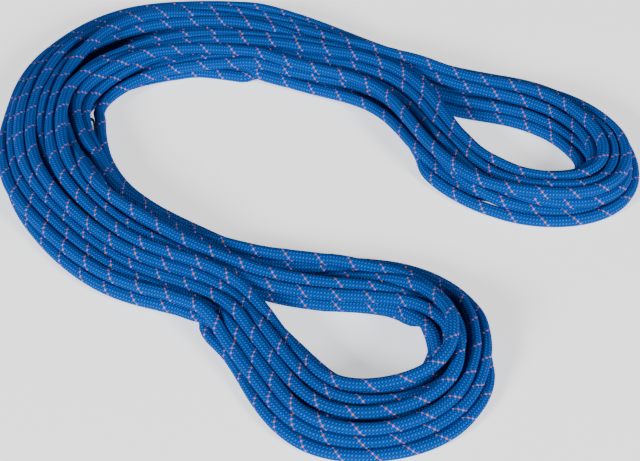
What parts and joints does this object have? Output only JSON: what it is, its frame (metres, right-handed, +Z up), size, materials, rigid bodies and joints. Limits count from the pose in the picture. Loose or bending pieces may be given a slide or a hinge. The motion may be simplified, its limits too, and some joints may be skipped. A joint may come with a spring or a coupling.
{
  "type": "dynamic climbing rope",
  "caption": "Sheathed dynamic rope laid flat as an open C-shaped hank with a teardrop loop at each end; both tips sleeved and heat-fused.",
  "frame": {"origin": "middle of the hank's bounding box, on the surface it lies on", "axes": "+Z up; +X towards the ends of the two loops, the C's back on -X; +Y towards the far loop's side"},
  "size_m": [0.5226, 0.4963, 0.032],
  "materials": {
    "sheath_blue": "braided nylon, satin",
    "core_white": "twisted nylon yarn",
    "tape_red": "thin smooth tape",
    "sleeve_white": "heat-shrunk film",
    "fused_nylon": "melted and hardened nylon"
  },
  "bodies": {
    "root": {"rope_hank": "sheath_blue", "top_end_sheath": "sheath_blue", "top_end_core_strand_middle": "core_white", "top_end_core_strand_1": "core_white", "top_end_core_strand_2": "core_white", "top_end_core_strand_3": "core_white", "top_end_core_strand_4": "core_white", "top_end_core_strand_5": "core_white", "top_end_core_strand_6": "core_white", "top_end_marker_tape": "tape_red", "top_end_sleeve": "sleeve_white", "top_end_fused_tip": "fused_nylon", "bottom_end_sheath": "sheath_blue", "bottom_end_core_strand_middle": "core_white", "bottom_end_core_strand_1": "core_white", "bottom_end_core_strand_2": "core_white", "bottom_end_core_strand_3": "core_white", "bottom_end_core_strand_4": "core_white", "bottom_end_core_strand_5": "core_white", "bottom_end_core_strand_6": "core_white", "bottom_end_marker_tape": "tape_red", "bottom_end_sleeve": "sleeve_white", "bottom_end_fused_tip": "fused_nylon"}
  },
  "joints": []
}
